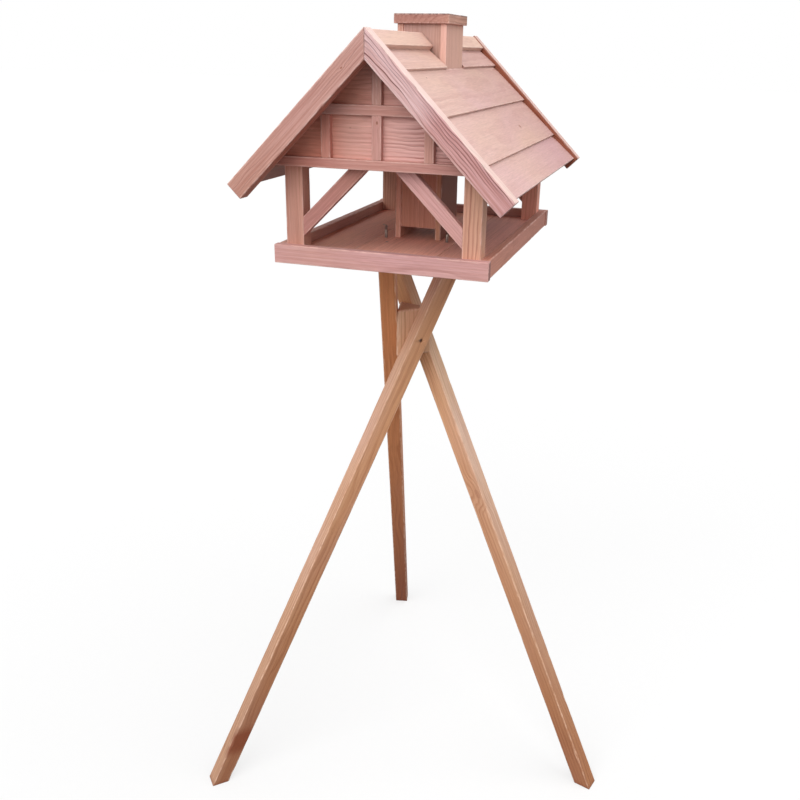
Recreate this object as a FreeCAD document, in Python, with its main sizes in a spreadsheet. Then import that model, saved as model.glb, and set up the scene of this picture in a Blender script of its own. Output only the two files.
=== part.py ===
import FreeCAD, Part
import math
import os
import Sketcher

# Bird table with a silo, a lapped board roof and a three-leg stand.
# Millimetres, +Z up, ground at zero, front of the table toward -Y.

# Driving dimensions
values = {
    "legSize": 30, "legRise": 1070, "footRadius": 433, "topRadius": 94, "standTurn": 103.9,
    "standAhead": 2, "standLeft": 28, "blockHeight": 90, "blockRadius": 21, "blockLift": 8,
    "edgeBreak": 1,
    "floorThick": 12, "floorMiddle": 143, "seam": 1,
    "trayWidth": 355, "trayDepth": 513, "rimThick": 14, "rimInset": 2.5, "rimAbove": 16, "rimHeight": 30,
    "postWidth": 30, "postDepth": 28, "braceWidth": 22, "braceThick": 14, "braceRise": 45, "braceApart": 6,
    "roofAngle": 45, "peakRise": 323, "seatDrop": 15, "bargeWidth": 30, "bargeThick": 24, "bargeLength": 317,
    "gableReach": 26.5, "boardThin": 5, "boardThick": 9.5, "lap": 10, "ridgeWide": 30.5, "ridgeThick": 8.5,
    "lineTwo": 71.5, "lineThree": 159, "lineFour": 249, "eaveLine": 310.5, "slip": 0.2,
    "gableBase": 125, "gableThick": 12, "battenThick": 10, "battenHigh": 15, "midBase": 203.5,
    "stripWide": 15, "stripSpread": 81.5,
    "siloWidth": 84, "siloDepth": 103, "siloBoard": 10, "siloRise": 334, "siloRecess": 2, "slotHigh": 19.5,
    "shaftGap": 0.5, "capOver": 5, "capThick": 15, "plugThick": 12, "plugGap": 1,
    "pinSize": 5, "pinRise": 22, "pinSide": 56, "pinFront": 7,
    "screwShank": 4.5, "screwBite": 14, "screwHead": 6.6, "sinkSize": 7, "sinkDeep": 8, "headThick": 3.5,
    "trayShank": 4, "trayHead": 8, "trayHeadDeep": 3, "trayBite": 18,
}

doc = FreeCAD.newDocument("BirdTable")
sheet = doc.addObject("Spreadsheet::Sheet", "Sizes")


# A number that remembers the cells it was made from, so that sketches can be tied to them
class Size:
    def __init__(self, value, text):
        self.value = float(value)
        self.text = text

    def __add__(self, other):
        return Size(number(self) + number(other), "(%s + %s)" % (words(self), words(other)))

    def __sub__(self, other):
        return Size(number(self) - number(other), "(%s - %s)" % (words(self), words(other)))

    def __mul__(self, other):
        return Size(number(self) * number(other), "(%s * %s)" % (words(self), words(other)))

    def __truediv__(self, other):
        return Size(number(self) / number(other), "(%s / %s)" % (words(self), words(other)))

    def __neg__(self):
        return Size(-self.value, "(0 - %s)" % self.text)


def number(item):
    return item.value if isinstance(item, Size) else float(item)


def words(item):
    return item.text if isinstance(item, Size) else "%.9g" % item


class Sizes:
    pass


g = Sizes()
for row, (alias, value) in enumerate(values.items(), start=1):
    sheet.set("A%d" % row, alias)
    sheet.set("B%d" % row, "%g" % value)
    sheet.setAlias("B%d" % row, alias)
    setattr(g, alias, Size(value, "Sizes.%s" % alias))
doc.recompute()

turn = math.radians(g.roofAngle.value)
sine = Size(math.sin(turn), "sin(Sizes.roofAngle)")
cosine = Size(math.cos(turn), "cos(Sizes.roofAngle)")
tangent = Size(math.tan(turn), "tan(Sizes.roofAngle)")

made = {}


# Sketch, pad and pocket helpers
def start(label):
    body = doc.addObject("PartDesign::Body", label)
    body.Label = label
    return body


def sketchOn(body, plane, lift=0):
    sketch = body.newObject("Sketcher::SketchObject", body.Name + "Sketch")
    side = [item for item in body.Origin.OriginFeatures if item.Role == plane][0]
    sketch.AttachmentSupport = [(side, "")]
    sketch.MapMode = "FlatFace"
    sketch.AttachmentOffset = FreeCAD.Placement(FreeCAD.Vector(0, 0, number(lift)), FreeCAD.Rotation())
    if isinstance(lift, Size):
        sketch.setExpression("AttachmentOffset.Base.z", lift.text)
    return sketch


def tie(sketch, kind, corner, part, value):
    axis = -2 if kind == "DistanceX" else -1
    if abs(number(value)) < 1e-9:
        sketch.addConstraint(Sketcher.Constraint("PointOnObject", corner, part, axis))
        return
    index = sketch.addConstraint(Sketcher.Constraint(kind, -1, 1, corner, part, number(value)))
    if isinstance(value, Size):
        sketch.setExpression("Constraints[%d]" % index, value.text)


def outline(body, plane, corners, lift=0):
    sketch = sketchOn(body, plane, lift)
    spots = [FreeCAD.Vector(number(x), number(y), 0) for x, y in corners]
    count = len(spots)
    for i in range(count):
        sketch.addGeometry(Part.LineSegment(spots[i], spots[(i + 1) % count]))
    for i in range(count):
        sketch.addConstraint(Sketcher.Constraint("Coincident", i, 2, (i + 1) % count, 1))
    for i, (x, y) in enumerate(corners):
        tie(sketch, "DistanceX", i, 1, x)
        tie(sketch, "DistanceY", i, 1, y)
    return sketch


def ring(body, plane, x, y, width, lift=0):
    sketch = sketchOn(body, plane, lift)
    middle = FreeCAD.Vector(number(x), number(y), 0)
    sketch.addGeometry(Part.Circle(middle, FreeCAD.Vector(0, 0, 1), number(width) / 2))
    tie(sketch, "DistanceX", 0, 3, x)
    tie(sketch, "DistanceY", 0, 3, y)
    index = sketch.addConstraint(Sketcher.Constraint("Diameter", 0, number(width)))
    if isinstance(width, Size):
        sketch.setExpression("Constraints[%d]" % index, width.text)
    return sketch


def pad(body, sketch, length, middle=False, back=False):
    step = body.newObject("PartDesign::Pad", body.Name + "Pad")
    step.Profile = sketch
    step.Length = number(length)
    step.setExpression("Length", words(length))
    step.Midplane = middle
    step.Reversed = back
    return step


def pocket(body, sketch, depth, back=False):
    doc.recompute()
    before = body.Shape.Volume
    step = body.newObject("PartDesign::Pocket", body.Name + "Pocket")
    step.Profile = sketch
    step.Length = number(depth)
    step.setExpression("Length", words(depth))
    step.Reversed = back
    doc.recompute()
    if not body.Shape.Volume < before - 1:
        raise SystemExit("pocket of %s removes nothing" % body.Name)
    return step


def soften(body, size, wanted):
    doc.recompute()
    base = body.Tip
    names = ["Edge%d" % (i + 1) for i, edge in enumerate(base.Shape.Edges) if wanted(edge)]
    step = body.newObject("PartDesign::Chamfer", body.Name + "Chamfer")
    step.Base = (base, names)
    step.Size = number(size)
    step.setExpression("Size", words(size))
    return step


def along(direction, low=0):
    way = FreeCAD.Vector(*direction).normalize()

    def wanted(edge):
        run = edge.Vertexes[-1].Point - edge.Vertexes[0].Point
        return run.Length > low and abs(abs(run.normalize() * way) - 1) < 1e-6
    return wanted


def keep(label, item, spot, spin=None):
    item.Placement = FreeCAD.Placement(FreeCAD.Vector(*[number(v) for v in spot]), spin or FreeCAD.Rotation())
    item.Label = label
    made[label] = item


def turned(degrees):
    return FreeCAD.Rotation(FreeCAD.Vector(0, 0, 1), degrees)


def plank(label, width, depth, height, spot):
    body = start(label)
    pad(body, outline(body, "XY_Plane", [(0, 0), (width, 0), (width, depth), (0, depth)]), height)
    keep(label, body, spot)
    return body


# Where the stand and the house stand in the shared frame
legOut = g.blockRadius + g.legSize / 2
runFoot = math.sqrt(g.footRadius.value ** 2 - legOut.value ** 2)
runTop = math.sqrt(g.topRadius.value ** 2 - legOut.value ** 2)
run = Size(runFoot, "sqrt(Sizes.footRadius ^ 2 - %s ^ 2)" % legOut.text)
top = Size(runTop, "sqrt(Sizes.topRadius ^ 2 - %s ^ 2)" % legOut.text)
lean = math.atan2(runFoot + runTop, g.legRise.value)
halfCut = Size(g.legSize.value / 2 / math.cos(lean),
               "(Sizes.legSize / 2 / cos(atan((%s + %s) / Sizes.legRise)))" % (run.text, top.text))
crossing = g.legRise * run / (run + top)
legNames = ("leg_back", "leg_front_left", "leg_front_right")
turns = {label: order * 360 / len(legNames) for order, label in enumerate(legNames)}


def standSpot(angle, out, side):
    a = math.radians(g.standTurn.value + angle)
    return (out * math.cos(a) - side * math.sin(a), out * math.sin(a) + side * math.cos(a))


corners = [standSpot(angle, runFoot + cut, out) for angle in turns.values()
           for cut in (-halfCut.value, halfCut.value)
           for out in (g.blockRadius.value, g.blockRadius.value + g.legSize.value)]
standX = -(max(x for x, y in corners) + min(x for x, y in corners)) / 2
standY = -(max(y for x, y in corners) + min(y for x, y in corners)) / 2
houseX = standX + g.standLeft.value
houseY = standY + g.standAhead.value

floorTop = g.legRise + g.floorThick
rimTop = floorTop + g.rimAbove
peak = rimTop + g.peakRise
innerX = g.trayWidth / 2 - g.rimInset - g.rimThick
innerY = g.trayDepth / 2 - g.rimThick
seatPeak = g.peakRise - g.seatDrop / cosine
gableFront = innerY + g.gableThick + g.battenThick
roofEnd = gableFront + g.gableReach
bargeEnd = roofEnd + g.bargeThick


# Legs of the stand, each lying in an upright plane beside the axis
legWay = (runFoot + runTop, 0, -g.legRise.value)
for label, angle in turns.items():
    leg = start(label)
    pad(leg, outline(leg, "XZ_Plane", [(run - halfCut, 0), (run + halfCut, 0),
                                       (halfCut - top, g.legRise), (-halfCut - top, g.legRise)]),
        g.legSize, middle=True)
    soften(leg, g.edgeBreak, along(legWay, g.legRise.value / 2))
    pocket(leg, ring(leg, "XZ_Plane", 0, crossing, g.screwShank, g.legSize / 2), g.legSize, back=False)
    pocket(leg, ring(leg, "XZ_Plane", 0, crossing, g.sinkSize, -(g.legSize / 2)), g.sinkDeep, back=True)
    pocket(leg, ring(leg, "XY_Plane", -top, 0, g.trayShank, g.legRise), g.trayBite, back=False)
    x, y = standSpot(angle, 0, legOut.value)
    keep(label, leg, (standX + x, standY + y, 0), turned(g.standTurn.value + angle))

# Three-sided block that the legs are screwed to
block = start("stand_block")
reach = g.blockRadius * 2
side = g.blockRadius * math.sqrt(3)
pad(block, outline(block, "XY_Plane", [(side, g.blockRadius), (-side, g.blockRadius), (0, -reach)]),
    g.blockHeight)
soften(block, g.edgeBreak * 3, along((0, 0, 1)))
blockShape = block.Shape
for angle in turns.values():
    drill = ring(block, "XZ_Plane", 0, g.blockHeight / 2 - g.blockLift, g.screwShank, -g.blockRadius)
    drill.AttachmentOffset = FreeCAD.Placement(
        FreeCAD.Vector(g.blockRadius.value * math.sin(math.radians(angle)), 0,
                       -g.blockRadius.value * math.cos(math.radians(angle))),
        FreeCAD.Rotation(FreeCAD.Vector(0, 1, 0), -angle))
    drill.setExpression("AttachmentOffset.Base.z", None)
    pocket(block, drill, g.screwBite, back=True)
keep("stand_block", block, (standX, standY, crossing + g.blockLift - g.blockHeight / 2), turned(g.standTurn.value))

# Screws through the legs, the head at the bottom of its sunk hole
screw = start("leg_screw_pattern")
headUnder = g.legSize - g.sinkDeep
round1 = outline(screw, "XY_Plane", [(0, -g.screwBite), (g.screwShank / 2, -g.screwBite),
                                     (g.screwShank / 2, headUnder), (g.screwHead / 2, headUnder),
                                     (g.screwHead / 2, headUnder + g.headThick), (0, headUnder + g.headThick)])
spin = screw.newObject("PartDesign::Revolution", "LegScrewRound")
spin.Profile = round1
spin.ReferenceAxis = (round1, ["V_Axis"])
spin.Angle = 360
doc.recompute()
copies = []
for angle in turns.values():
    x, y = standSpot(angle, 0, g.blockRadius.value)
    copy = screw.Shape.copy()
    copy.Placement = FreeCAD.Placement(FreeCAD.Vector(standX + x, standY + y, crossing.value),
                                       turned(g.standTurn.value + angle))
    copies.append(copy)
group = doc.addObject("Part::Feature", "leg_screws")
group.Shape = Part.makeCompound(copies)
keep("leg_screws", group, (0, 0, 0))

# Tray floor, cut for the tray screws and the silo pins
boards = {
    "floor_left": (-innerX, innerX - g.floorMiddle / 2 - g.seam),
    "floor_middle": (-(g.floorMiddle / 2), g.floorMiddle),
    "floor_right": (g.floorMiddle / 2 + g.seam, innerX - g.floorMiddle / 2 - g.seam),
}
pinSpots = [(-g.pinSide.value, -g.siloDepth.value / 2 - g.pinFront.value),
            (g.pinSide.value, -g.siloDepth.value / 2 - g.pinFront.value)]
screwSpots = []
for angle in turns.values():
    x, y = standSpot(angle, -runTop, legOut.value)
    screwSpots.append((standX + x - houseX, standY + y - houseY))
for label, (left, width) in boards.items():
    body = plank(label, width, innerY * 2, g.floorThick,
                 (left + houseX, -innerY + houseY, g.legRise))
    reachIn = g.trayHead.value / 2
    for x, y in screwSpots:
        if left.value < x < left.value + width.value:
            spotX, spotY = x - left.value, y + innerY.value
            pocket(body, ring(body, "XY_Plane", spotX, spotY, g.trayShank, g.floorThick), g.floorThick)
            pocket(body, ring(body, "XY_Plane", spotX, spotY, g.trayHead, g.floorThick), g.trayHeadDeep)
    for x, y in pinSpots:
        if left.value < x < left.value + width.value:
            pocket(body, ring(body, "XY_Plane", x - left.value, y + innerY.value, g.pinSize, g.floorThick),
                   g.floorThick)

headTurn = start("tray_screw_pattern")
under = g.floorThick - g.trayHeadDeep
round2 = outline(headTurn, "XZ_Plane", [(0, -g.trayBite), (g.trayShank / 2, -g.trayBite),
                                        (g.trayShank / 2, under), (g.trayHead / 2, under),
                                        (g.trayHead / 2, under + g.trayHeadDeep * 0.8),
                                        (g.trayHead * 0.38, g.floorThick), (0, g.floorThick)])
spin = headTurn.newObject("PartDesign::Revolution", "TrayScrewRound")
spin.Profile = round2
spin.ReferenceAxis = (round2, ["V_Axis"])
spin.Angle = 360

pinTurn = start("silo_pin_pattern")
round3 = outline(pinTurn, "XZ_Plane", [(0, -g.floorThick), (g.pinSize / 2, -g.floorThick),
                                       (g.pinSize / 2, g.pinRise - g.pinSize * 0.3),
                                       (g.pinSize * 0.38, g.pinRise - g.pinSize * 0.1),
                                       (g.pinSize * 0.18, g.pinRise), (0, g.pinRise)])
spin = pinTurn.newObject("PartDesign::Revolution", "SiloPinRound")
spin.Profile = round3
spin.ReferenceAxis = (round3, ["V_Axis"])
spin.Angle = 360
doc.recompute()
for label, pattern, spots, height in (("tray_screws", headTurn, screwSpots, g.legRise),
                                      ("silo_pins", pinTurn, pinSpots, floorTop)):
    copies = []
    for x, y in spots:
        copy = pattern.Shape.copy()
        copy.Placement = FreeCAD.Placement(FreeCAD.Vector(houseX + x, houseY + y, height.value),
                                           FreeCAD.Rotation())
        copies.append(copy)
    group = doc.addObject("Part::Feature", label)
    group.Shape = Part.makeCompound(copies)
    keep(label, group, (0, 0, 0))

# Rim boards, front and back full width with the side ones between them
rimUnder = rimTop - g.rimHeight
plank("rim_front", g.trayWidth, g.rimThick, g.rimHeight,
      (-(g.trayWidth / 2) + houseX, -(g.trayDepth / 2) + houseY, rimUnder))
plank("rim_back", g.trayWidth, g.rimThick, g.rimHeight,
      (-(g.trayWidth / 2) + houseX, innerY + houseY, rimUnder))
plank("rim_left", g.rimThick, innerY * 2, g.rimHeight,
      (-innerX - g.rimThick + houseX, -innerY + houseY, rimUnder))
plank("rim_right", g.rimThick, innerY * 2, g.rimHeight, (innerX + houseX, -innerY + houseY, rimUnder))


# Pieces whose outline lies in the gable plane; side is +1 right or -1 left of the middle
def upright(label, corners, thick, side, front, mirrorY=1):
    body = start(label)
    pad(body, outline(body, "XZ_Plane", [(x * side, z) for x, z in corners]), thick, back=mirrorY < 0)
    base = houseY + front * mirrorY
    keep(label, body, (houseX, base, rimTop))
    return body


def postOutline():
    inner = innerX - g.postWidth
    foot = -g.rimAbove
    return [(inner, foot), (innerX, foot), (innerX, seatPeak - innerX * tangent),
            (inner, seatPeak - inner * tangent)]


def braceOutline():
    inner = innerX - g.postWidth
    drop = g.braceWidth * math.sqrt(2)
    tip = g.braceApart / 2
    top = inner + g.braceRise - drop - tip
    return [(inner, g.braceRise - drop), (inner, g.braceRise), (tip + drop, top), (tip, top)]


ends = {"front": 1, "back": -1}
sides = {"left": -1, "right": 1}
for endName, end in ends.items():
    face = -innerY.value
    for sideName, side in sides.items():
        post = upright("post_%s_%s" % (endName, sideName), postOutline(), g.postDepth, side,
                       face + g.postDepth.value, end)
        soften(post, g.edgeBreak, along((0, 0, 1), g.gableBase.value))
        upright("brace_%s_%s" % (endName, sideName), braceOutline(), g.braceThick, side,
                face + g.braceThick.value, end)

    # Gable panel with its batten and strip overlay
    def slopeAt(z):
        return (seatPeak - z) / tangent

    low, mid = g.gableBase, g.midBase
    half = g.stripWide / 2
    panel = [(-slopeAt(low), low), (slopeAt(low), low), (0, seatPeak)]
    upright("gable_%s" % endName, panel, g.gableThick, 1, face, end)
    over = face - g.gableThick.value
    lowTop, midTop = low + g.battenHigh, mid + g.battenHigh
    overlay = {
        "batten_low": [(-slopeAt(low), low), (slopeAt(low), low), (slopeAt(lowTop), lowTop),
                       (-slopeAt(lowTop), lowTop)],
        "batten_mid": [(-slopeAt(mid), mid), (slopeAt(mid), mid), (slopeAt(midTop), midTop),
                       (-slopeAt(midTop), midTop)],
        "strip_top": [(-half, midTop), (half, midTop), (half, seatPeak - half * tangent), (0, seatPeak),
                      (-half, seatPeak - half * tangent)],
        "strip_centre": [(-half, lowTop), (half, lowTop), (half, mid), (-half, mid)],
        "strip_left": [(-g.stripSpread - half, lowTop), (-g.stripSpread + half, lowTop),
                       (-g.stripSpread + half, mid), (-g.stripSpread - half, mid)],
        "strip_right": [(g.stripSpread - half, lowTop), (g.stripSpread + half, lowTop),
                        (g.stripSpread + half, mid), (g.stripSpread - half, mid)],
    }
    for name, shape in overlay.items():
        upright("%s_%s" % (endName, name), shape, g.battenThick, 1, over, end)

# Square hole that the silo passes through, cut from the boards beside it
shaft = doc.addObject("Part::Box", "silo_shaft")
shaft.Length = g.siloWidth.value + 2 * g.shaftGap.value
shaft.Width = g.siloDepth.value + 2 * g.shaftGap.value
shaft.Height = g.siloRise.value + g.rimAbove.value
shaft.Placement.Base = FreeCAD.Vector(houseX - shaft.Length.Value / 2, houseY - shaft.Width.Value / 2,
                                      floorTop.value)


# Roof pieces, drawn down the slope and out from it, then laid on the slope
def slopePiece(label, corners, length, side, back, cut=False):
    body = start(label + "_whole" if cut else label)
    pad(body, outline(body, "XZ_Plane", corners), length)
    lay = FreeCAD.Rotation(FreeCAD.Vector(0, 1, 0), g.roofAngle.value)
    end = number(back)
    if side < 0:
        lay = turned(180).multiply(lay)
        end = number(back) - number(length)
    keep(label, body, (houseX, houseY + end, peak), lay)
    if cut:
        body.Label = label + "_whole"
        less = doc.addObject("Part::Cut", label)
        less.Base = body
        less.Tool = shaft
        made[label] = less


seat = -g.seatDrop
thin = seat + g.boardThin
thick = seat + g.boardThick
roofLength = roofEnd * 2
shortLength = roofEnd - g.siloDepth / 2 - g.shaftGap
miter = g.slip


def mitred(n):
    return miter - n * tangent


def lapped(upper, lower, last):
    head = upper - g.lap + g.slip
    lip = thin + g.slip / 2
    foot = [(head, seat), (lower - g.lap - g.slip, seat), (lower - g.lap - g.slip, lip), (lower, lip)]
    if last:
        foot = [(head, seat), (lower, seat)]
    return foot + [(lower, thick), (upper, thin), (head, thin)]


lines = [g.lineTwo, g.lineThree, g.lineFour, g.eaveLine]
for sideName, side in sides.items():
    for order in (2, 3, 4):
        slopePiece("roof_%s_%d" % (sideName, order),
                   lapped(lines[order - 2], lines[order - 1], order == 4),
                   roofLength, side, roofEnd, cut=order == 2)
    topBoard = [(mitred(seat), seat), (g.lineTwo - g.lap - g.slip, seat),
                (g.lineTwo - g.lap - g.slip, thin + g.slip / 2), (g.lineTwo, thin + g.slip / 2),
                (g.lineTwo, thick), (g.ridgeWide, thin), (mitred(thin), thin)]
    ridge = [(mitred(thin), thin), (g.ridgeWide, thin), (g.ridgeWide, thin + g.ridgeThick),
             (mitred(thin + g.ridgeThick), thin + g.ridgeThick)]
    for endName, back in (("front", shortLength - roofEnd), ("back", roofEnd)):
        slopePiece("roof_%s_1_%s" % (sideName, endName), topBoard, shortLength, side, back)
        slopePiece("ridge_%s_%s" % (sideName, endName), ridge, shortLength, side, back)
    barge = [(miter, 0), (g.bargeWidth * tangent + miter, -g.bargeWidth), (g.bargeLength, -g.bargeWidth),
             (g.bargeLength, 0)]
    for endName, back in (("front", g.bargeThick - bargeEnd), ("back", bargeEnd)):
        slopePiece("barge_%s_%s" % (endName, sideName), barge, g.bargeThick, side, back)
        soften(made["barge_%s_%s" % (endName, sideName)], g.edgeBreak, along((0, 1, 0)))

# Silo boards from the floor up through the roof
siloTop = rimTop + g.siloRise
siloHigh = siloTop - floorTop
halfWide, halfDeep = g.siloWidth / 2, g.siloDepth / 2
plank("silo_left", g.siloBoard, g.siloDepth, siloHigh, (-halfWide + houseX, -halfDeep + houseY, floorTop))
plank("silo_right", g.siloBoard, g.siloDepth, siloHigh,
      (halfWide - g.siloBoard + houseX, -halfDeep + houseY, floorTop))
inner = g.siloWidth - g.siloBoard * 2
plank("silo_front", inner, g.siloBoard, siloHigh - g.slotHigh,
      (-(inner / 2) + houseX, -halfDeep + g.siloRecess + houseY, floorTop + g.slotHigh))
plank("silo_back", inner, g.siloBoard, siloHigh - g.slotHigh,
      (-(inner / 2) + houseX, halfDeep - g.siloRecess - g.siloBoard + houseY, floorTop + g.slotHigh))

# Lift-off cap with its locating plug
capWide, capDeep = g.siloWidth + g.capOver * 2, g.siloDepth + g.capOver * 2
cap = plank("cap_slab", capWide, capDeep, g.capThick,
            (-(capWide / 2) + houseX, -(capDeep / 2) + houseY, siloTop))
soften(cap, g.edgeBreak, lambda edge: edge.BoundBox.ZMin > g.capThick.value / 2)
plugWide = inner - g.plugGap * 2
plugDeep = g.siloDepth - (g.siloRecess + g.siloBoard + g.plugGap) * 2
plug = plank("cap_plug", plugWide, plugDeep, g.plugThick,
             (-(plugWide / 2) + houseX, -(plugDeep / 2) + houseY, siloTop - g.plugThick))
soften(plug, g.edgeBreak * 2, lambda edge: edge.BoundBox.ZMax < g.plugThick.value / 2)

# Check every object, then write one file for each piece
doc.recompute()
for item in doc.Objects:
    if "Invalid" in item.State or "Error" in item.State:
        raise SystemExit("%s did not recompute: %s" % (item.Label, item.State))
os.makedirs("parts", exist_ok=True)
for label, item in made.items():
    if item.Shape.isNull() or not item.Shape.isValid() or item.Shape.Volume < 1:
        raise SystemExit("%s has no valid shape" % label)
    item.Shape.exportStep("parts/%s.step" % label)
print(len(made), "pieces written")
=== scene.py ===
import math

import bmesh
import bpy
import numpy as np
from mathutils import Matrix, Vector


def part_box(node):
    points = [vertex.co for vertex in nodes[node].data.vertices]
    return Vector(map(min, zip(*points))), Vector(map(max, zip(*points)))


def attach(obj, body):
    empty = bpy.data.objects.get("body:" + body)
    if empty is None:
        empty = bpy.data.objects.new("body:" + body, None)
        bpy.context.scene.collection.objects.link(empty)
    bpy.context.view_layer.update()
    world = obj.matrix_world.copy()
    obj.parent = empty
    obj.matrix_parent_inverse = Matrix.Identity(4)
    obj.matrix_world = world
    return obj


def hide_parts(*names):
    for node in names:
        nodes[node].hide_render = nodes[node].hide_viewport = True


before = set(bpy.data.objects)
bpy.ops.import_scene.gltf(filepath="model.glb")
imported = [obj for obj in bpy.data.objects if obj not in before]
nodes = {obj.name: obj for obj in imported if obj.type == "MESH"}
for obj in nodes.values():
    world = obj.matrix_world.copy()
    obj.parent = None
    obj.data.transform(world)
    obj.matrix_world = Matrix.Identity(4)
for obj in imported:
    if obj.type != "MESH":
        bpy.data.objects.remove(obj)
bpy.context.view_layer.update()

# Bird table with a lapped board roof, a silo through the ridge and a three-leg stand.
# Metres, +Z up, ground at zero, front of the table toward -Y.

half = math.sqrt(0.5)  # cosine and sine of the 45 degree roof


# sRGB hex to the linear values that the sockets take
def colour(text):
    channels = [int(text[i:i + 2], 16) / 255 for i in (1, 3, 5)]
    return [c / 12.92 if c <= 0.04045 else ((c + 0.055) / 1.055) ** 2.4 for c in channels] + [1.0]


# Adds a shader node; a socket takes a value, an output, or a node, which stands for its first live output
def add(tree, kind, sockets=(), **settings):
    node = tree.nodes.new("ShaderNode" + kind)
    for key, value in settings.items():
        setattr(node, key, value)
    for key, value in dict(sockets).items():
        if isinstance(value, bpy.types.Node):
            value = next(output for output in value.outputs if output.enabled)
        if isinstance(value, bpy.types.NodeSocket):
            tree.links.new(value, node.inputs[key])
        else:
            node.inputs[key].default_value = value
    return node


# Empty node tree of a material or a world
def freshTree(owner):
    owner.use_nodes = True
    owner.node_tree.nodes.clear()
    return owner.node_tree


# New object in the scene
def linked(name, data):
    item = bpy.data.objects.new(name, data)
    bpy.context.scene.collection.objects.link(item)
    return item


# What each wood is and how its surface was made. In metres: ring is a year's growth, wander and ripple
# how far the rings bend, relief how high the late wood stands. The rest are shares from 0 to 1.
woods = {
    # larch, brushed so that the soft wood is worn away between the late wood ridges
    "brushedLarch": dict(
        peach="#d9b1a0", pink="#d1a6a1", line="#86554f", end="#815249", edge="#f6dcd2",
        ring=0.0045, wander=0.011, ripple=0.0028, lineShare=0.92, lineFrom=0.52, streak=0.42,
        relief=0.00045, rough=0.72, blotch=0.5, patch=0.12, knotDark=0.8),
    # spruce panel left rough from the saw, with raised wavy grain
    "sawnSpruce": dict(
        peach="#d8b1a2", pink="#d4aba4", line="#936156", end="#825349", edge="#f3d2c6",
        ring=0.0057, wander=0.006, ripple=0.0034, lineShare=0.75, lineFrom=0.15, streak=0.24,
        relief=0.0005, rough=0.78, blotch=0.4, patch=0.45, knotDark=0.8),
    # planed spruce boards, smooth and pale with a faint figure
    "planedSpruce": dict(
        peach="#dcb69f", pink="#d6aca5", line="#bb887b", end="#9b695c", edge="#f3d8cc",
        ring=0.0070, wander=0.006, ripple=0.0016, lineShare=0.36, lineFrom=0.10, streak=0.17,
        relief=0.00015, rough=0.62, blotch=0.7, patch=0.15, knotDark=0.7),
    # stained pine of the frame, silo and tray
    "stainedPine": dict(
        peach="#cb9d88", pink="#ca9993", line="#935c4d", end="#73443a", edge="#f0cbbf",
        ring=0.0058, wander=0.007, ripple=0.0012, lineShare=0.50, lineFrom=0.40, streak=0.28,
        relief=0.00028, rough=0.68, blotch=0.5, patch=0.35, knotDark=0.8),
    # pine squares of the stand, planed and oiled: warmer and more orange
    "oiledPine": dict(
        peach="#cd9d79", pink="#c89d87", line="#975f39", end="#663e2b", edge="#f0cdb4",
        ring=0.0062, wander=0.009, ripple=0.0010, lineShare=0.50, lineFrom=0.35, streak=0.28,
        relief=0.0002, rough=0.6, blotch=0.9, patch=0.25, knotDark=0.35),
}


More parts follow.
